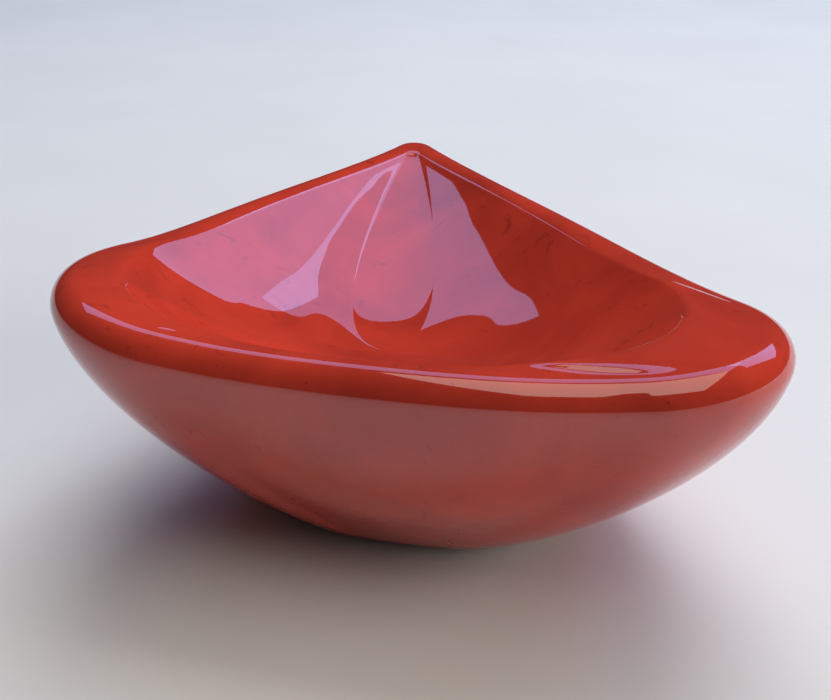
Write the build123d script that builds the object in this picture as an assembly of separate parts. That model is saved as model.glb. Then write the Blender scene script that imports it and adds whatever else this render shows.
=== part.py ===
from build123d import *
import math
import os

# Three-cornered bowl in mm, resting on its foot at z = 0. Plan sizes are measured from the
# centre of the foot; the finished bowl is moved so that its outline is centred on the origin.
# The corners in order: far, left, right.

# Rim plan: a round corner is a disc, set by its centre and its radius
far_x = 44.2
far_y = 132.1
far_radius = 13
left_x = -83.1
left_y = 0
left_radius = 59.2
right_x = 34.7
right_y = -96.2
right_radius = 44.9

# Rim: a fat round roll, lowest at the middle of each side
rim_height = 105.8
roll_radius = 8.75
side_drop = 6.7
far_lift = 3.1
left_lift = 6.7
right_lift = 6.7
lift_power = 1.9
rim_bow = 3.3

# Outside of the body, from the small foot to the roll
foot_radius = 47.9
belly_radius = 58.1
belly_bow = 12
foot_spread_share = 0.083
spread_power = 1.55
spread_end_power = 1.05
swell_power = 6.1
swell_end_power = 0.42

# Hollow of the bowl: three sloping walls that meet in valleys, round at the floor
cavity_x = -22.8
cavity_y = -2.3
cavity_depth = 46
floor_radius = 5
wall_angle = 46
far_valley_share = 0.92
far_valley_power = 1
far_end_power = 2.1
left_valley_share = 0.66
left_valley_power = 2.2
right_valley_share = 0.66
right_valley_power = 2.2
side_end_power = 1.35

# Underside: turned hollow, so that the bowl rests on a ring
hollow_radius = 37
hollow_depth = 38
hollow_fillet = 9

# Coats on the clay
slip_thickness = 0.3
glaze_thickness = 0.5
slip_line = 5
glaze_line = 7.5

# How finely the shape is drawn
arc_steps = 7
side_steps = 7
hull_rings = 14
roll_rings = 4
lip_rings = 3
cavity_rings = 10
fine_steps = 60
probe_share = 0.004

centres = [Vector(far_x, far_y), Vector(left_x, left_y), Vector(right_x, right_y)]
radii = [far_radius, left_radius, right_radius]
corner_lifts = [far_lift, left_lift, right_lift]
valleys = [far_valley_share, left_valley_share, right_valley_share]
valley_powers = [far_valley_power, left_valley_power, right_valley_power]
end_powers = [far_end_power, side_end_power, side_end_power]
mean_radius = sum(radii) / len(radii)
cavity_centre = Vector(cavity_x, cavity_y)


def outward_normals():
    """Direction square to each side, for side k between corner k and the next."""
    normals = []
    for k, centre in enumerate(centres):
        after = (k + 1) % len(centres)
        step = centres[after] - centre
        along = step.normalized()
        lean = (radii[k] - radii[after]) / step.length
        square = Vector(along.Y, -along.X)
        normals.append(square * math.sqrt(1 - lean**2) + along * lean)
    return normals


normals = outward_normals()


def side_reach(middle):
    """Mean distance from a point in plan to the three sides of the rim."""
    reaches = [n.dot(c - middle) + r for n, c, r in zip(normals, centres, radii)]
    return sum(reaches) / len(reaches)


def plan_ring(discs, bow):
    """One level of the bowl: a disc in each corner, joined by bowed sides."""
    ring = []
    for k, (here, here_radius) in enumerate(discs):
        there, there_radius = discs[(k + 1) % len(discs)]
        start = math.atan2(normals[k - 1].Y, normals[k - 1].X)
        turn = (math.atan2(normals[k].Y, normals[k].X) - start) % math.tau
        for i in range(arc_steps + 1):
            angle = start + turn * i / arc_steps
            ring.append(here + Vector(math.cos(angle), math.sin(angle)) * here_radius)
        leave = here + normals[k] * here_radius
        arrive = there + normals[k] * there_radius
        for i in range(1, side_steps):
            share = i / side_steps
            swell = (1 - (2 * share - 1) ** 2) ** 1.5
            ring.append(leave + (arrive - leave) * share + normals[k] * (bow * swell))
    return ring


def outer_discs(spread, base):
    """Discs drawn together towards the middle of the foot."""
    return [(c * spread, base + spread * (r - mean_radius)) for c, r in zip(centres, radii)]


def inner_discs(spreads, reach):
    """Discs drawn towards the middle of the cavity, all sides staying parallel to the rim."""
    return [(cavity_centre + (c - cavity_centre) * m, reach - m * (rim_reach - r))
            for c, r, m in zip(centres, radii, spreads)]


def rim_lifts():
    """Height of each point of a ring against the corners: lowest at a side's middle."""
    rim = plan_ring(outer_discs(1, mean_radius - roll_radius), rim_bow)
    reach = [p.length for p in rim]
    block = arc_steps + side_steps
    blocks = [reach[k * block:(k + 1) * block] for k in range(len(centres))]
    tips = [max(points[:arc_steps + 1]) for points in blocks]
    lows = [min(points[arc_steps:]) for points in blocks]
    lifts = []
    for k, points in enumerate(blocks):
        turning = points.index(lows[k])
        for i, value in enumerate(points):
            low = lows[k - 1] if i < arc_steps / 2 else lows[k]
            corner = k if i <= turning else (k + 1) % len(centres)
            share = (value - low) / (tips[corner] - low)
            lifts.append(corner_lifts[corner] * share**lift_power - side_drop)
    return lifts


ring_lifts = rim_lifts()


def hull_level(t):
    """Outside wall, t from 0 at the foot to 1 under the roll."""
    opened = (1 - (1 - t) ** spread_power) ** spread_end_power
    spread = foot_spread_share + (1 - foot_spread_share) * opened
    swollen = (1 - (1 - t) ** swell_power) ** swell_end_power
    base = foot_radius + (belly_radius - foot_radius) * swollen
    base += (mean_radius - belly_radius) * opened
    bow = rim_bow * t * (2 - t) + belly_bow * math.sin(math.pi * t) ** 2
    ring = plan_ring(outer_discs(spread, base), bow * opened)
    return [p + Vector(0, 0, t * (rim_height - roll_radius + s)) for p, s in zip(ring, ring_lifts)]


def roll_level(t):
    """Outer half of the roll, t from 0 at its widest to 1 on the crest."""
    angle = math.radians(90 * t)
    base = mean_radius - roll_radius + roll_radius * math.cos(angle)
    ring = plan_ring(outer_discs(1, base), rim_bow)
    low = rim_height - roll_radius + roll_radius * math.sin(angle)
    return [p + Vector(0, 0, low + s) for p, s in zip(ring, ring_lifts)]


rim_reach = side_reach(cavity_centre)
lip_angle = math.radians(wall_angle)
wall_reach = rim_reach - roll_radius - roll_radius * math.sin(lip_angle)
lip_drop = roll_radius * (1 - math.cos(lip_angle))
wall_power = math.tan(lip_angle) * wall_reach / (cavity_depth - lip_drop)


def lip_level(t):
    """Inner turn of the roll, t from 0 on the crest to 1 where it leans like the wall."""
    angle = lip_angle * t
    spreads = [1 - (1 - valley) * t * t * (3 - 2 * t) for valley in valleys]
    reach = rim_reach - roll_radius - roll_radius * math.sin(angle)
    ring = plan_ring(inner_discs(spreads, reach), rim_bow)
    height = rim_height - roll_radius * (1 - math.cos(angle))
    return [p + Vector(0, 0, height + s) for p, s in zip(ring, ring_lifts)]


def cavity_level(t):
    """Inner wall, t from 0 under the lip to 1 at the edge of the floor."""
    share = 1 - t * (1 - floor_radius / wall_reach)
    spreads = [valley * (1 - (1 - share) ** power) ** end
               for valley, power, end in zip(valleys, valley_powers, end_powers)]
    ring = plan_ring(inner_discs(spreads, wall_reach * share), rim_bow * share * (1 - t))
    drop = lip_drop + (cavity_depth - lip_drop) * (1 - share**wall_power)
    return [p + Vector(0, 0, rim_height - drop + s * (1 - t)) for p, s in zip(ring, ring_lifts)]


def even_stations(level, count):
    """Values of t for rings that stand about evenly apart down one wall."""
    fine = [i / fine_steps for i in range(fine_steps + 1)]
    rings = [level(t) for t in fine]
    run = [0]
    for above, below in zip(rings, rings[1:]):
        gaps = [(p - q).length for p, q in zip(above, below)]
        run.append(run[-1] + sum(gaps) / len(gaps))
    stations, i = [], 0
    for j in range(count):
        while run[i] < run[-1] * j / count:
            i += 1
        stations.append(fine[i])
    return stations


def outline():
    """Every ring of the bowl as (level, t), from the foot over the rim to the floor."""
    path = [(hull_level, t) for t in even_stations(hull_level, hull_rings)]
    path += [(roll_level, j / roll_rings) for j in range(roll_rings)]
    path += [(lip_level, j / lip_rings) for j in range(lip_rings)]
    path += [(cavity_level, t) for t in even_stations(cavity_level, cavity_rings)]
    return path + [(cavity_level, 1)]


def coated_ring(level, t, coat):
    """One ring moved out square to the surface by the thickness of the coats."""
    ring = level(t)
    if coat == 0:
        return ring
    before = level(max(t - probe_share, 0))
    after = level(min(t + probe_share, 1))
    count = len(ring)
    moved = []
    for i, p in enumerate(ring):
        around = ring[(i + 1) % count] - ring[i - 1]
        normal = around.cross(after[i] - before[i]).normalized()
        moved.append(p + normal * coat)
    return moved


def bowl_solid(coat):
    """The whole bowl out to the skin of a coat, foot still flat at z = 0."""
    path = outline()
    rings = [coated_ring(level, t, coat) for level, t in path]
    rings[0] = [Vector(p.X, p.Y, 0) for p in rings[0]]
    rings[-1] = [p + Vector(0, 0, coat) for p in path[-1][0](1)]
    wires = [Wire([Edge.make_spline(ring, periodic=True)]) for ring in rings]
    return Solid.make_loft(wires, ruled=True)


def turned_hollow():
    """The hollow under the bowl, cut before the clay dried."""
    plug = Cylinder(hollow_radius, hollow_depth, align=(Align.CENTER, Align.CENTER, Align.MIN))
    return fillet(plug.edges().sort_by(Axis.Z)[-1], hollow_fillet)


def coat_shell(inner, outer, line):
    """A coat between two skins, stopped at a height above the foot."""
    shell = outer - inner
    wide = 2 * (far_y + far_radius - right_y + right_radius)
    below = Box(wide, wide, line, align=(Align.CENTER, Align.CENTER, Align.MIN))
    return shell - below


os.makedirs("parts", exist_ok=True)
body = bowl_solid(0)
slipped = bowl_solid(slip_thickness)
glazed = bowl_solid(slip_thickness + glaze_thickness)
middle = glazed.bounding_box().center()


def save(shape, name):
    placed = Pos(-middle.X, -middle.Y, 0) * shape
    placed.label = name
    export_step(placed, f"parts/{name}.step")


save(body - turned_hollow(), "clay_body")
save(coat_shell(body, slipped, slip_line), "red_slip")
save(coat_shell(slipped, glazed, glaze_line), "clear_glaze")
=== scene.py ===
import math
import bpy
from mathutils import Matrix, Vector


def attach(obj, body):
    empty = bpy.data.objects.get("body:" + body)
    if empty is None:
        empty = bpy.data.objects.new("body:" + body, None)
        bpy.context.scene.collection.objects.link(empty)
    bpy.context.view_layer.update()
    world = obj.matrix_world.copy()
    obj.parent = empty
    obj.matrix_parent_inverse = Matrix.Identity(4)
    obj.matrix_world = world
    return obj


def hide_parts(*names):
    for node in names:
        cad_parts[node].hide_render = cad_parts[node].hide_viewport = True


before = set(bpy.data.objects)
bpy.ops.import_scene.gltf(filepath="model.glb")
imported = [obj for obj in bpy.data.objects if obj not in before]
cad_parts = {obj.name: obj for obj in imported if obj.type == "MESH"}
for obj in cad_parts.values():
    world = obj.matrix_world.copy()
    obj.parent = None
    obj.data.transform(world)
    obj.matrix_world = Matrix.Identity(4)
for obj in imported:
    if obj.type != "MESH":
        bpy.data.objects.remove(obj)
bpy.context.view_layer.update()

# ---------------------------------------------------------------- clay body
# The pot itself: fired red earthenware, thrown or cast thick and pulled out into three
# round corners. It shows only at the foot, where slip and glaze were wiped away so that
# it would not stick to the kiln shelf, and in the turned hollow inside the foot ring.

MM = 0.001  # every size below is in millimetres

# The three corners seen from above, far, left and right: middle and radius of each disc.
CORNERS = [(Vector((44.2, 132.1)), 13),
           (Vector((-83.1, 0)), 59.2),
           (Vector((34.7, -96.2)), 44.9)]
MEAN = sum(radius for _, radius in CORNERS) / 3

# Rim: crest height at the left and right corners, radius of the roll, outward bow of a
# side, drop of its middle, lift of each corner over it, and how late that lift comes.
RIM_HEIGHT, ROLL, RIM_BOW, BOW_POWER = 105.8, 8.75, 3.3, 1.5
SIDE_DROP, CORNER_LIFTS, LIFT_POWER = 6.7, (3.1, 6.7, 6.7), 1.9

# Hull: radius of the foot and of the belly over it, the belly's own bow, how far the
# corners already spread at the foot, and the curves by which they and the belly open.
FOOT, BELLY, BELLY_BOW, FOOT_SPREAD = 47.9, 58.1, 12, 0.083
SPREAD_POWER, SPREAD_END = 1.55, 1.05
SWELL_POWER, SWELL_END = 6.1, 0.42

# Cavity: its middle, depth and the wall's slope under the rim. Each valley between two
# walls has its reach towards the corner, how long it keeps that reach on the way down,
# and how softly it runs out. DISH is the share of the floor that is a shallow dish.
CAVITY, DEPTH, LEAN = Vector((-22.8, -2.3)), 46, math.radians(46)
VALLEYS = [(0.92, 1, 2.1), (0.66, 2.2, 1.35), (0.66, 2.2, 1.35)]
DISH = 0.25

# Hollow turned out under the foot: radius, height and the rounding of its roof. The
# shares are those of the way from its middle to the edge of the foot.
HOLLOW, HOLLOW_HEIGHT, HOLLOW_ROUND = 37, 38, 9
ROOF_SHARE, ROUND_SHARE, WALL_SHARE = 0.3, 0.6, 0.85

# Points along a corner and a side, and rings of each stretch, closer together low down.
ARC, SIDE = 26, 26
UNDER_RINGS, HULL_RINGS, ROLL_RINGS, LIP_RINGS, WALL_RINGS = 60, 64, 14, 12, 46
HULL_CLOSER = 1.3


def side_normals():
    """Outward direction of each side, which touches the discs at both of its ends."""
    out = []
    for k in range(3):
        (here, r1), (there, r2) = CORNERS[k], CORNERS[(k + 1) % 3]
        along = (there - here).normalized()
        lean = (r1 - r2) / (there - here).length
        out.append(Vector((along.y, -along.x)) * math.sqrt(1 - lean ** 2) + along * lean)
    return out


NORMALS = side_normals()


def plan(discs, bow):
    """One level of the pot: a disc in each corner, joined by bowed sides."""
    ring = []
    for k in range(3):
        (c1, r1), (c2, r2) = discs[k], discs[(k + 1) % 3]
        start = math.atan2(NORMALS[k - 1].y, NORMALS[k - 1].x)
        turn = (math.atan2(NORMALS[k].y, NORMALS[k].x) - start) % math.tau
        for i in range(ARC):
            angle = start + turn * i / ARC
            ring.append(c1 + Vector((math.cos(angle), math.sin(angle))) * r1)
        for i in range(SIDE):
            share = i / SIDE
            swell = (1 - (2 * share - 1) ** 2) ** BOW_POWER
            point = (c1 + NORMALS[k] * r1).lerp(c2 + NORMALS[k] * r2, share)
            ring.append(point + NORMALS[k] * (bow * swell))
    return ring


def outer_discs(spread, base):
    """Corner discs drawn together towards the middle of the foot."""
    return [(c * spread, base + spread * (r - MEAN)) for c, r in CORNERS]


REACH = sum(n.dot(c - CAVITY) + r for n, (c, r) in zip(NORMALS, CORNERS)) / 3


def inner_discs(spreads, reach):
    """Corner discs drawn towards the middle of the cavity, sides parallel to the rim."""
    return [(CAVITY + (c - CAVITY) * m, reach - m * (REACH - r))
            for (c, r), m in zip(CORNERS, spreads)]


def rim_lifts():
    """Height of every point of a ring against the crest, lowest at mid side."""
    reach = [p.length for p in plan(outer_discs(1, MEAN - ROLL), RIM_BOW)]
    step = ARC + SIDE
    parts = [reach[k * step:(k + 1) * step] for k in range(3)]
    tips, lows = [max(p[:ARC]) for p in parts], [min(p[ARC:]) for p in parts]
    out = []
    for k, part in enumerate(parts):
        turning = part.index(lows[k])
        for i, value in enumerate(part):
            low = lows[k - 1] if i < ARC / 2 else lows[k]
            corner = k if i <= turning else (k + 1) % 3
            share = (value - low) / (tips[corner] - low)
            out.append(CORNER_LIFTS[corner] * share ** LIFT_POWER - SIDE_DROP)
    return out


LIFTS = rim_lifts()


def raised(ring, height, share):
    """A ring at its height, following the rise and fall of the rim by a share."""
    return [Vector((p.x, p.y, height + share * s)) for p, s in zip(ring, LIFTS)]


def outside(t):
    """Outer wall, t from 0 at the foot to 1 under the roll of the rim."""
    opened = (1 - (1 - t) ** SPREAD_POWER) ** SPREAD_END
    swollen = (1 - (1 - t) ** SWELL_POWER) ** SWELL_END
    base = FOOT + (BELLY - FOOT) * swollen + (MEAN - BELLY) * opened
    bow = RIM_BOW * t * (2 - t) + BELLY_BOW * math.sin(math.pi * t) ** 2
    spread = FOOT_SPREAD + (1 - FOOT_SPREAD) * opened
    ring = plan(outer_discs(spread, base), bow * opened)
    return raised(ring, t * (RIM_HEIGHT - ROLL), t)


def roll(t):
    """Outer half of the rolled rim, t from 0 at its widest to 1 on the crest."""
    angle = math.radians(90 * t)
    ring = plan(outer_discs(1, MEAN - ROLL + ROLL * math.cos(angle)), RIM_BOW)
    return raised(ring, RIM_HEIGHT - ROLL + ROLL * math.sin(angle), 1)


# Reach of the wall under the lip, drop of the lip, and the power that lets the wall
# start at the lip's own slope.
WALL = REACH - ROLL - ROLL * math.sin(LEAN)
LIP_DROP = ROLL * (1 - math.cos(LEAN))
WALL_POWER = math.tan(LEAN) * WALL / (DEPTH - LIP_DROP)


def lip(t):
    """Inner turn of the rim, t from 0 on the crest to 1 where it leans like the wall."""
    eased = t * t * (3 - 2 * t)
    spreads = [1 - (1 - valley) * eased for valley, _, _ in VALLEYS]
    ring = plan(inner_discs(spreads, REACH - ROLL - ROLL * math.sin(LEAN * t)), RIM_BOW)
    return raised(ring, RIM_HEIGHT - ROLL * (1 - math.cos(LEAN * t)), 1)


def inside(t):
    """Inner wall, t from 0 under the lip to 1 at the middle of the dished floor."""
    share = 1 - t
    spreads = [valley * (1 - t ** power) ** end for valley, power, end in VALLEYS]
    ring = plan(inner_discs(spreads, WALL * share), RIM_BOW * share ** 2)
    rise = share ** WALL_POWER
    if share < DISH:
        rise = DISH ** WALL_POWER * (1 + WALL_POWER / 2 * ((share / DISH) ** 2 - 1))
    height = RIM_HEIGHT - LIP_DROP - (DEPTH - LIP_DROP) * (1 - rise)
    return raised(ring, height, share)


def circle(radius, height):
    """A round ring about the middle of the foot, with as many points as any other."""
    return [Vector((p.x, p.y, height)) for p in plan([(Vector((0, 0)), radius)] * 3, 0)]


def foot_ring(t):
    """Underside, t from 0 at the middle of the hollow to 1 on the outer edge of the foot."""
    if t < ROOF_SHARE:
        return circle((HOLLOW - HOLLOW_ROUND) * t / ROOF_SHARE, HOLLOW_HEIGHT)
    if t < ROUND_SHARE:
        turn = math.radians(90 * (t - ROOF_SHARE) / (ROUND_SHARE - ROOF_SHARE))
        return circle(HOLLOW - HOLLOW_ROUND * (1 - math.sin(turn)),
                      HOLLOW_HEIGHT - HOLLOW_ROUND * (1 - math.cos(turn)))
    if t < WALL_SHARE:
        left = (WALL_SHARE - t) / (WALL_SHARE - ROUND_SHARE)
        return circle(HOLLOW, (HOLLOW_HEIGHT - HOLLOW_ROUND) * left)
    share = (t - WALL_SHARE) / (1 - WALL_SHARE)
    return [a.lerp(b, share) for a, b in zip(circle(HOLLOW, 0), outside(0))]


def path(start):
    """Levels from one point of the outer wall over the rim to the middle of the floor."""
    hull = [start + (1 - start) * (i / HULL_RINGS) ** HULL_CLOSER for i in range(HULL_RINGS)]
    levels = [(outside, t) for t in hull]
    levels += [(roll, i / ROLL_RINGS) for i in range(ROLL_RINGS)]
    levels += [(lip, i / LIP_RINGS) for i in range(LIP_RINGS)]
    return levels + [(inside, i / WALL_RINGS) for i in range(WALL_RINGS + 1)]


# The surface's slope is read this far before and after a ring, as a share of its
# stretch. Past FLOOR_T the rings are too small for it, and a coat lies straight up.
PROBE, FLOOR_T = 0.004, 0.9


def pushed(level, t, coat):
    """One ring of the pot moved out by the thickness of its coats."""
    ring = level(t)
    if coat == 0:
        return ring
    if level is inside and t > FLOOR_T:
        return [p + Vector((0, 0, coat)) for p in ring]
    before, after = level(max(t - PROBE, 0)), level(min(t + PROBE, 1))
    out = []
    for i, p in enumerate(ring):
        around = ring[(i + 1) % len(ring)] - ring[i - 1]
        out.append(p + around.cross(after[i] - before[i]).normalized() * coat)
    return out


# The middle of the rim's own box stands over the origin, as in the part's source.
top = [p for t in (0, 0.5, 1) for p in roll(t)]
CENTRE = Vector(((min(p.x for p in top) + max(p.x for p in top)) / 2,
                 (min(p.y for p in top) + max(p.y for p in top)) / 2, 0))


def wrapped_skin(name, levels, coat):
    """A grid wrapped round the pot, one row per level, with its seam and poles closed."""
    bpy.ops.object.select_all(action="DESELECT")
    rings = [pushed(level, t, coat(i)) for i, (level, t) in enumerate(levels)]
    wide, high = len(rings[0]), len(rings) - 1
    bpy.ops.mesh.primitive_grid_add(x_subdivisions=wide, y_subdivisions=high, size=1)
    piece = bpy.context.object
    piece.name = name
    for v in piece.data.vertices:
        i, j = round((v.co.x + 0.5) * wide), round((v.co.y + 0.5) * high)
        v.co = (rings[j][i % wide] - CENTRE) * MM
    bpy.ops.object.mode_set(mode="EDIT")
    bpy.ops.mesh.select_all(action="SELECT")
    bpy.ops.mesh.remove_doubles(threshold=1e-6)
    bpy.ops.mesh.normals_make_consistent(inside=False)
    bpy.ops.object.mode_set(mode="OBJECT")
    bpy.ops.object.shade_smooth()
    return piece


def linear(text):
    """sRGB hex to the linear colour that the shader takes."""
    parts = [int(text[i:i + 2], 16) / 255 for i in (0, 2, 4)]
    return tuple(c / 12.92 if c < 0.04045 else ((c + 0.055) / 1.055) ** 2.4
                 for c in parts) + (1,)


def per_metre(size):
    """Pattern scale for marks that lie this many millimetres apart."""
    return round(1 / (size * MM))


def node(tree, kind, links=None, **settings):
    """Adds a node, sets its values by name and links its inputs."""
    new = tree.nodes.new("ShaderNode" + kind)
    for key, value in settings.items():
        if hasattr(new, key):
            setattr(new, key, value)
        else:
            new.inputs[key.replace("_", " ")].default_value = value
    for socket, source in (links or {}).items():
        tree.links.new(source, new.inputs[socket])
    return new


def new_material(name):
    """An empty material and its node tree."""
    material = bpy.data.materials.new(name)
    material.use_nodes = True
    material.node_tree.nodes.clear()
    return material, material.node_tree


under = [(foot_ring, i / UNDER_RINGS) for i in range(UNDER_RINGS)]
clay = wrapped_skin("clay_pot", under + path(0), lambda i: 0)

# Fired red earthenware: dry and matt, salmon pink to brown, with sandy grains of 0.3 to
# 0.6 mm standing out of the clay and paler patches of some 20 mm where it dried faster.
material, tree = new_material("bare_earthenware")
place = node(tree, "TexCoord").outputs["Object"]
patches = node(tree, "TexNoise", {"Vector": place}, Scale=per_metre(20), Detail=4,
               Roughness=0.6)
body = node(tree, "ValToRGB", {"Fac": patches.outputs["Fac"]})
for stop, spot, tint in zip(body.color_ramp.elements, (0.35, 0.68), ("9c5a3c", "c08460")):
    stop.position, stop.color = spot, linear(tint)
grit = node(tree, "TexVoronoi", {"Vector": place}, Scale=per_metre(0.625))
speck = node(tree, "ValToRGB", {"Fac": grit.outputs["Distance"]})
for stop, spot, shade in zip(speck.color_ramp.elements, (0.12, 0.3), (0.75, 1)):
    stop.position, stop.color = spot, (shade, shade, shade, 1)
mixed = node(tree, "Mix", {"A": body.outputs["Color"], "B": speck.outputs["Color"]},
             data_type="RGBA", blend_type="MULTIPLY", Factor=1)
bump = node(tree, "Bump", {"Height": grit.outputs["Distance"]}, Strength=0.35,
            Distance=0.2 * MM)
shader = node(tree, "BsdfPrincipled",
              {"Base Color": mixed.outputs["Result"], "Normal": bump.outputs["Normal"]},
              Roughness=0.85, IOR=1.5)
node(tree, "OutputMaterial", {"Surface": shader.outputs["BSDF"]})
clay.data.materials.append(material)
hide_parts("clay_body")
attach(clay, "root")

# ---------------------------------------------------------------- red slip
# The sigillata coat: a skin of very fine red clay, 0.3 mm thick, poured over the whole
# pot and rubbed smooth. It ends just above the foot, where it was wiped off to a thin edge.

SLIP, SLIP_START = 0.3, 0.052  # thickness, and its lower edge as a share of the hull

# A coat loses this share of its thickness at its lower edge and has it all back after
# this many rings. Its inner face stops a little short of what is under it.
EDGE_LOSS, EDGE_RINGS, INNER_SHARE = 0.85, 3, 0.9


def coat_piece(name, start, full, thick):
    """A coat that thins out at its lower edge, with its own thickness."""
    piece = wrapped_skin(name, path(start), lambda i: full - thick * EDGE_LOSS
                         * max(0, 1 - i / EDGE_RINGS) ** 2)
    solid = piece.modifiers.new("thickness", "SOLIDIFY")
    solid.thickness, solid.offset = thick * INNER_SHARE * MM, -1
    solid.use_even_offset = True
    bpy.ops.object.modifier_apply(modifier=solid.name)
    return piece


slip = coat_piece("sigillata_coat", SLIP_START, SLIP, SLIP)

# Rubbed sigillata: a soft satin sheen, brick red, with brushed clouds of 15 to 40 mm
# where the slip lies thinner and the body warms it to orange. The rub marks are drawn
# about a millimetre apart, coarser than the real ones, so that they show.
material, tree = new_material("rubbed_sigillata")
place = node(tree, "TexCoord").outputs["Object"]
clouds = node(tree, "TexNoise", {"Vector": place}, Scale=per_metre(31), Detail=5,
              Roughness=0.55)
colour = node(tree, "ValToRGB", {"Fac": clouds.outputs["Fac"]})
for stop, spot, tint in zip(colour.color_ramp.elements, (0.32, 0.7), ("8e2a1c", "b8482c")):
    stop.position, stop.color = spot, linear(tint)
rubbed = node(tree, "TexNoise", {"Vector": place}, Scale=per_metre(1.111), Detail=2)
bump = node(tree, "Bump", {"Height": rubbed.outputs["Fac"]}, Strength=0.2,
            Distance=0.1 * MM)
shader = node(tree, "BsdfPrincipled",
              {"Base Color": colour.outputs["Color"], "Normal": bump.outputs["Normal"]},
              Roughness=0.42, IOR=1.5)
node(tree, "OutputMaterial", {"Surface": shader.outputs["BSDF"]})
slip.data.materials.append(material)
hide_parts("red_slip")
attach(slip, "root")

# ---------------------------------------------------------------- clear glaze
# Clear gloss glaze over the slip, fired until it ran smooth. The real coat is half a
# millimetre; 0.4 mm is drawn, because this skin is rounder than the part's ruled solids
# and would come out of their box. All that is seen of it is the red below and its shine.

GLAZE, GLAZE_START = 0.4, 0.078  # thickness, and its lower edge as a share of the hull
glaze = coat_piece("gloss_glaze", GLAZE_START, SLIP + GLAZE, GLAZE)

# Gloss glaze on red slip: mirror smooth, since the melt levels itself, with a faint swell
# of 25 to 60 mm left in it. The red drifts from orange where the slip is thin to deep red
# where it pooled, with iron specks of about 1 mm and soft dark scuffs. The colour and the
# mirror are one shader: the coat's IOR is matched to how bright the sky shows in it.
material, tree = new_material("clear_gloss_glaze_on_red_slip")
place = node(tree, "TexCoord").outputs["Object"]
clouds = node(tree, "TexNoise", {"Vector": place}, Scale=per_metre(45.5), Detail=4,
              Roughness=0.55, Distortion=0.6)
colour = node(tree, "ValToRGB", {"Fac": clouds.outputs["Fac"]})
for stop, spot, tint in zip(colour.color_ramp.elements, (0.3, 0.72), ("b03224", "d03f2b")):
    stop.position, stop.color = spot, linear(tint)

# Iron specks: cells of some 5 mm, of which one in five has a dark dot in its middle.
iron = node(tree, "TexVoronoi", {"Vector": place}, Scale=per_metre(4.76))
dot = node(tree, "MapRange", {"Value": iron.outputs["Distance"]}, From_Min=0.05,
           From_Max=0.1, To_Min=0.6, To_Max=0)
picked = node(tree, "SeparateColor", {"Color": iron.outputs["Color"]})
some = node(tree, "Math", {0: picked.outputs["Red"]}, operation="GREATER_THAN")
some.inputs[1].default_value = 0.8
specks = node(tree, "Math", {0: dot.outputs["Result"], 1: some.outputs["Value"]},
              operation="MULTIPLY")

# Scuffs: thin smears some 24 mm long, only where the noise is at its highest.
rubs = node(tree, "TexNoise", {"Vector": place}, Scale=per_metre(23.8), Detail=7,
            Roughness=0.7, Distortion=2.5)
scuffs = node(tree, "MapRange", {"Value": rubs.outputs["Fac"]}, From_Min=0.6,
              From_Max=0.68, To_Max=0.4)
marks = node(tree, "Math", {0: specks.outputs["Value"], 1: scuffs.outputs["Result"]},
             operation="MAXIMUM")
marked = node(tree, "Mix", {"Factor": marks.outputs["Value"], "A": colour.outputs["Color"]},
              data_type="RGBA")
marked.inputs["B"].default_value = linear("6e2018")
swell = node(tree, "TexNoise", {"Vector": place}, Scale=per_metre(36), Detail=1)
bump = node(tree, "Bump", {"Height": swell.outputs["Fac"]}, Strength=0.25,
            Distance=0.6 * MM)
shader = node(tree, "BsdfPrincipled",
              {"Base Color": marked.outputs["Result"],
               "Coat Normal": bump.outputs["Normal"]},
              Roughness=0.5, Specular_IOR_Level=0.0, Coat_Weight=1.0,
              Coat_Roughness=0.02, Coat_IOR=1.75)
node(tree, "OutputMaterial", {"Surface": shader.outputs["BSDF"]})
glaze.data.materials.append(material)
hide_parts("clear_glaze")
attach(glaze, "root")

# ---------------------------------------------------------------- table, light and camera
# A pale painted table top that runs out of view. Behind the bowl hang two cool panels,
# whose mirror image is the lilac patch on the inner walls, and over it a warm one; two
# fills light the hull and aren't mirrored. The camera stands where the photo was taken.

bpy.ops.object.select_all(action="DESELECT")
bpy.ops.mesh.primitive_plane_add(size=12)
table = bpy.context.object
table.name = "table_top"

# Painted board: matt and near white, a little uneven over hand's breadths.
material, tree = new_material("pale_painted_table")
place = node(tree, "TexCoord").outputs["Object"]
wear = node(tree, "TexNoise", {"Vector": place}, Scale=per_metre(165), Detail=3)
tone = node(tree, "ValToRGB", {"Fac": wear.outputs["Fac"]})
for stop, tint in zip(tone.color_ramp.elements, ("d9dad8", "e3e4e2")):
    stop.color = linear(tint)
shader = node(tree, "BsdfPrincipled", {"Base Color": tone.outputs["Color"]}, Roughness=0.6)
node(tree, "OutputMaterial", {"Surface": shader.outputs["BSDF"]})
table.data.materials.append(material)

# Almost no light comes from all round, and the colours are shown as they are.
world = bpy.data.worlds.new("studio")
bpy.context.scene.world = world
world.use_nodes = True
background = world.node_tree.nodes["Background"]
background.inputs["Color"].default_value = (0.95, 0.97, 1, 1)
background.inputs["Strength"].default_value = 0.03
bpy.context.scene.view_settings.view_transform = "Standard"

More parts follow.
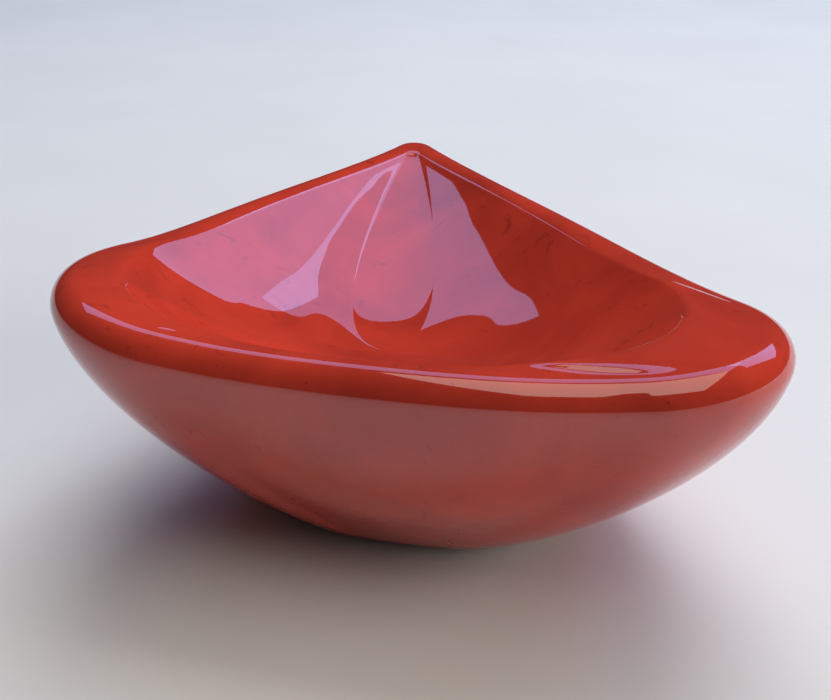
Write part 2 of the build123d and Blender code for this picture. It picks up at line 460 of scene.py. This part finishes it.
# Line of sight: where the camera stands in the pot's own plan, in millimetres, how far
# it is turned from the y axis, and how many degrees it looks down.
EYE, HEADING, DOWN = Vector((-145.15, -344.45, 241.84)), math.radians(21.75), 26.49
AHEAD = Vector((math.sin(HEADING), math.cos(HEADING), 0))
ASIDE = Vector((AHEAD.y, -AHEAD.x, 0))


def soft_light(name, ahead, aside, up, size, watts, colour, level=None, mirrored=True):
    """A panel placed in metres along and across the line of sight, facing the bowl, or
    the table if it hangs level, turned by that many degrees."""
    data = bpy.data.lights.new(name, "AREA")
    data.shape, data.size, data.size_y = "RECTANGLE", size[0], size[1]
    data.energy, data.color = watts, colour
    lamp = bpy.data.objects.new(name, data)
    bpy.context.scene.collection.objects.link(lamp)
    lamp.location = AHEAD * ahead + ASIDE * aside + Vector((0, 0, up))
    lamp.rotation_euler = (-lamp.location).to_track_quat("-Z", "Y").to_euler()
    if level is not None:
        lamp.rotation_euler = (0, 0, -HEADING - math.radians(level))
    lamp.visible_camera, lamp.visible_glossy = False, mirrored


soft_light("sky_panel", ahead=2.47, aside=-0.43, up=3.6, size=(4.96, 1.75),
           watts=54, colour=(0.34, 0.5, 1.0), level=12)
soft_light("sky_window", ahead=2.37, aside=2.64, up=2.77, size=(1.9, 2.1),
           watts=34, colour=(0.3, 0.5, 1.0))
soft_light("warm_roof", ahead=-0.6, aside=0.5, up=3.0, size=(2.0, 3.0),
           watts=38, colour=(1.0, 0.92, 0.82), level=0)
soft_light("right_fill", ahead=-0.7, aside=2.8, up=1.0, size=(2.0, 1.6),
           watts=48, colour=(1.0, 0.98, 0.95), mirrored=False)
soft_light("front_fill", ahead=1.45, aside=0.4, up=2.6, size=(2.0, 2.0),
           watts=46, colour=(1.0, 0.99, 0.96), mirrored=False)

camera = bpy.data.objects.new("camera", bpy.data.cameras.new("camera"))
bpy.context.scene.collection.objects.link(camera)
camera.data.lens, camera.data.sensor_width = 44.26, 36
camera.location = (EYE - CENTRE) * MM
camera.rotation_euler = (math.radians(90 - DOWN), 0, -HEADING)
bpy.context.scene.camera = camera
